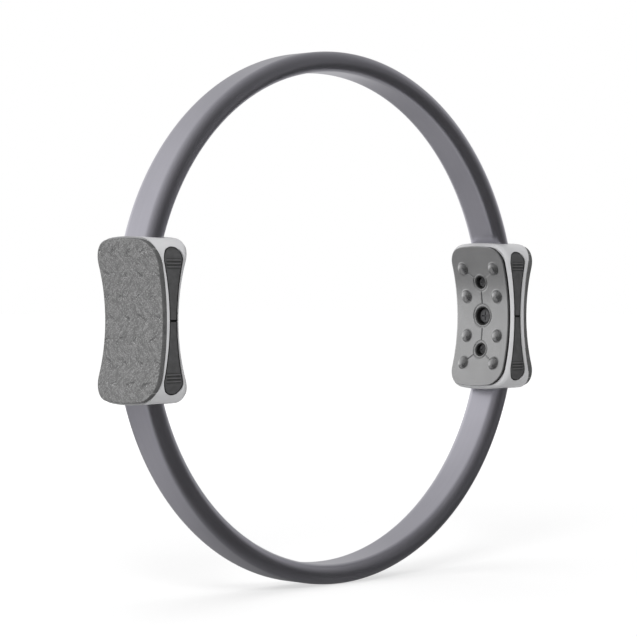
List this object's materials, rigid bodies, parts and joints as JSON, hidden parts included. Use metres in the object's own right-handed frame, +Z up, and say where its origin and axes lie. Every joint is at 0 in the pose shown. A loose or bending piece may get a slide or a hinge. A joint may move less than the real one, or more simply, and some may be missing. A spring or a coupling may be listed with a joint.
{
  "type": "pilates ring",
  "caption": "Springy upright hoop with padded handles on opposite sides, squeezed together or pushed apart for exercise; foam outer pads, nubbed inner pads.",
  "frame": {"origin": "centre of the hoop, halfway between the handles", "axes": "+X through the right handle, +Y along the hoop's axis away from the viewer, +Z up; the hoop stands on its lower sleeve"},
  "size_m": [0.367, 0.0582, 0.36],
  "materials": {
    "sleeve_foam": "satin closed-cell foam skin, grey with a slight violet cast",
    "strip_fibreglass": "pultruded fibreglass strip",
    "shell_plastic": "fine-textured light grey moulded plastic",
    "pad_foam": "embossed grey foam with short wavy creases",
    "massage_rubber": "matt grey moulded rubber",
    "inlay_rubber": "matt charcoal moulded rubber",
    "screw_steel": "dark zinc-plated steel",
    "nut_steel": "zinc-plated steel",
    "liner_plastic": "matt black plastic"
  },
  "bodies": {
    "hoop_and_left_handle": {"upper_sleeve": "sleeve_foam", "lower_sleeve": "sleeve_foam", "upper_strip": "strip_fibreglass", "lower_strip": "strip_fibreglass", "left_inner_shell": "shell_plastic", "left_outer_shell": "shell_plastic", "left_outer_pad": "pad_foam", "left_massage_pad": "massage_rubber", "left_front_inlay": "inlay_rubber", "left_rear_inlay": "inlay_rubber", "left_end_screws": "screw_steel", "left_centre_screw": "screw_steel", "left_centre_nut": "nut_steel", "left_well_liners": "liner_plastic"},
    "right_handle": {"right_inner_shell": "shell_plastic", "right_outer_shell": "shell_plastic", "right_outer_pad": "pad_foam", "right_massage_pad": "massage_rubber", "right_front_inlay": "inlay_rubber", "right_rear_inlay": "inlay_rubber", "right_end_screws": "screw_steel", "right_centre_screw": "screw_steel", "right_centre_nut": "nut_steel", "right_well_liners": "liner_plastic"}
  },
  "joints": [
    {"name": "squeeze", "type": "slide", "parent": "hoop_and_left_handle", "child": "right_handle", "axis": [-1, 0, 0], "range_m": [-0.02, 0.09], "stiffness_N_per_m": 1400, "deforming": ["upper_sleeve", "lower_sleeve", "upper_strip", "lower_strip"]}
  ]
}
